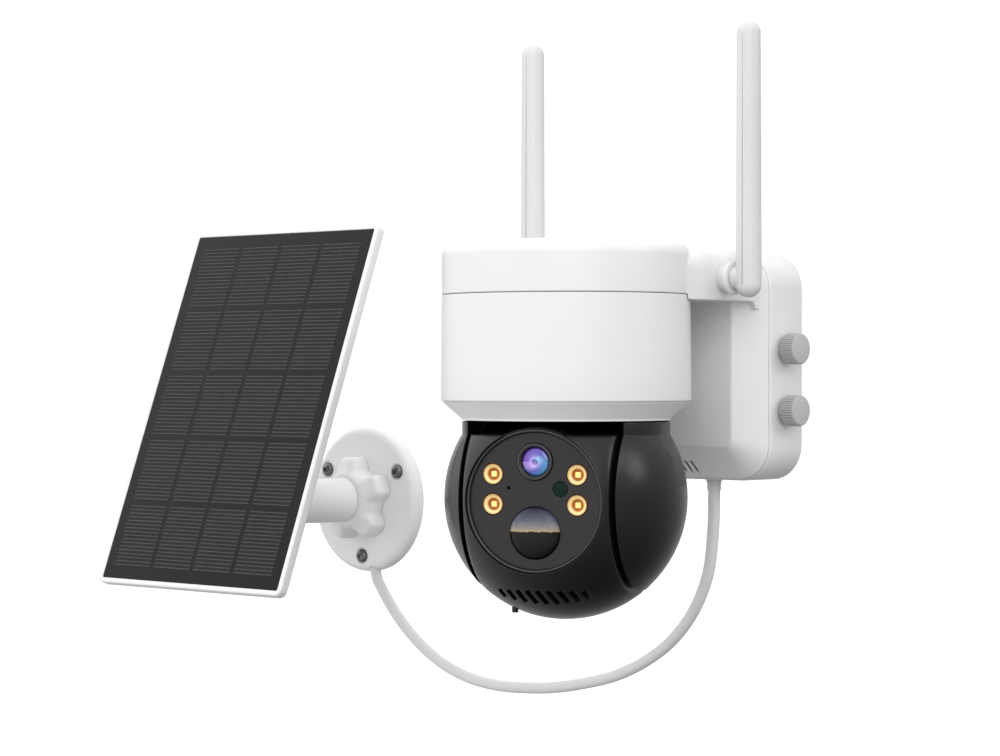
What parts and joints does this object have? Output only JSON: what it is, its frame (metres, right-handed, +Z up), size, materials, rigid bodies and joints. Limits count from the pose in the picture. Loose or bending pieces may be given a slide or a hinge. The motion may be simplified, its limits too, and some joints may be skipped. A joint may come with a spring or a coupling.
{
  "type": "solar-powered security camera",
  "caption": "Wall-mounted security camera with a motorised pan-and-tilt ball head, battery box and folding antennas, wired to a solar panel on an adjustable wall bracket.",
  "frame": {"origin": "Centre of the camera wall plate bolt pattern, on the wall face", "axes": "+X right along the wall seen from the front, +Y into the wall, +Z up"},
  "size_m": [0.3537, 0.1549, 0.305],
  "materials": {
    "white_shell": "satin",
    "grey_skirt": "satin",
    "black_shell": "satin",
    "seal_rubber": "matte",
    "battery_wrap": "shrink-wrapped",
    "inner_plastic": "matte",
    "circuit_board": "solder mask",
    "steel": "polished",
    "motor_metal": "brushed",
    "brass": "machined",
    "gear_nylon": "matte",
    "face_grey": "satin",
    "bezel_grey": "satin",
    "lens_glass": "coated",
    "lamp_gold": "polished",
    "lamp_chip": "phosphor",
    "motion_dome": "polished",
    "sensor_window": "polished",
    "panel_glass": "polished",
    "solar_cells": "printed cells",
    "cable_white": "matte"
  },
  "bodies": {
    "root": {"wall_plate": "white_shell", "battery_case_rear": "white_shell", "battery_case_front": "white_shell", "case_seal": "seal_rubber", "battery_cells": "battery_wrap", "battery_holder": "inner_plastic", "main_board": "circuit_board", "case_screws": "steel", "cable_gland": "white_shell", "top_cover": "white_shell", "pan_housing": "white_shell", "skirt_ring": "grey_skirt", "motor_deck": "inner_plastic", "deck_screws": "steel", "pan_motor": "motor_metal", "pan_bearing": "steel", "antenna_collars": "white_shell", "solar_base": "white_shell", "base_screws": "steel", "power_cable": "cable_white"},
    "knob_upper": {"knob_upper": "white_shell"},
    "knob_lower": {"knob_lower": "white_shell"},
    "pan_pinion": {"pan_pinion": "brass"},
    "antenna_left": {"antenna_left": "white_shell"},
    "antenna_right": {"antenna_right": "white_shell"},
    "yoke": {"yoke": "black_shell", "left_ear_cover": "black_shell", "right_ear_cover": "black_shell", "pan_gear": "gear_nylon", "retaining_ring": "steel", "tilt_bearings": "steel", "tilt_gear": "gear_nylon"},
    "head": {"head_front_shell": "black_shell", "head_rear_cover": "black_shell", "head_screws": "steel", "face_plate": "face_grey", "face_bezel": "bezel_grey", "lens_barrel": "black_shell", "lens_glass": "lens_glass", "lamp_reflectors": "lamp_gold", "lamp_chips": "lamp_chip", "motion_dome": "motion_dome", "light_sensor": "sensor_window", "camera_board": "circuit_board", "speaker": "inner_plastic", "tilt_motor": "motor_metal", "axle_pins": "steel"},
    "tilt_pinion": {"tilt_pinion": "brass"},
    "reset_button": {"reset_button": "black_shell"},
    "clamp_nut": {"clamp_nut": "white_shell"},
    "bracket_arm": {"bracket_arm": "white_shell"},
    "solar_panel": {"panel_frame": "white_shell", "panel_glass": "panel_glass", "cell_sheet": "solar_cells", "panel_back": "white_shell", "junction_box": "white_shell", "hinge_bracket": "white_shell", "hinge_bolt": "steel"}
  },
  "joints": [
    {"name": "pan", "type": "hinge", "parent": "root", "child": "yoke", "pos_m": [0, -0.101, -0.02], "axis": [0, 0, 1], "range_deg": [-197.5, 157.5]},
    {"name": "pan_pinion_turn", "type": "hinge", "parent": "root", "child": "pan_pinion", "pos_m": [0, -0.069, 0.002], "axis": [0, 0, 1], "range_deg": [-600, 600]},
    {"name": "tilt", "type": "hinge", "parent": "yoke", "child": "head", "pos_m": [0, -0.101, -0.0562], "axis": [0.9225, 0.3859, 0], "range_deg": [-3, 90]},
    {"name": "tilt_pinion_turn", "type": "hinge", "parent": "head", "child": "tilt_pinion", "pos_m": [0.02721, -0.08571, -0.07668], "axis": [0.9225, 0.3859, 0], "range_deg": [-10, 205]},
    {"name": "reset_press", "type": "slide", "parent": "head", "child": "reset_button", "axis": [0, 0, 1], "range_m": [0, 0.0008], "stiffness_N_per_m": 200, "springref_m": -0.001},
    {"name": "antenna_left_fold", "type": "hinge", "parent": "root", "child": "antenna_left", "pos_m": [-0.062, -0.0532, 0.038], "axis": [1, 0, 0], "range_deg": [-25, 90]},
    {"name": "antenna_right_fold", "type": "hinge", "parent": "root", "child": "antenna_right", "pos_m": [0.062, -0.0532, 0.038], "axis": [1, 0, 0], "range_deg": [-25, 90]},
    {"name": "knob_upper_turn", "type": "hinge", "parent": "root", "child": "knob_upper", "pos_m": [0.055, -0.0135, 0.0078], "axis": [1, 0, 0], "range_deg": [-720, 0]},
    {"name": "knob_lower_turn", "type": "hinge", "parent": "root", "child": "knob_lower", "pos_m": [0.055, -0.0135, -0.0194], "axis": [1, 0, 0], "range_deg": [-720, 0]},
    {"name": "clamp_nut_turn", "type": "hinge", "parent": "root", "child": "clamp_nut", "pos_m": [-0.2202, -0.015, -0.067], "axis": [0, 1, 0], "range_deg": [-180, 0]},
    {"name": "arm_swivel", "type": "hinge", "parent": "root", "child": "bracket_arm", "pos_m": [-0.2202, -0.03, -0.067], "axis": [0, 1, 0], "range_deg": [-170, 170]},
    {"name": "panel_tilt", "type": "hinge", "parent": "bracket_arm", "child": "solar_panel", "pos_m": [-0.2202, -0.0875, -0.067], "axis": [1, 0, 0], "range_deg": [-10, 40]}
  ],
  "couplings": [
    {"joint": "pan_pinion_turn", "follows": "pan", "ratio": -3},
    {"joint": "tilt_pinion_turn", "follows": "tilt", "ratio": 2.25}
  ]
}
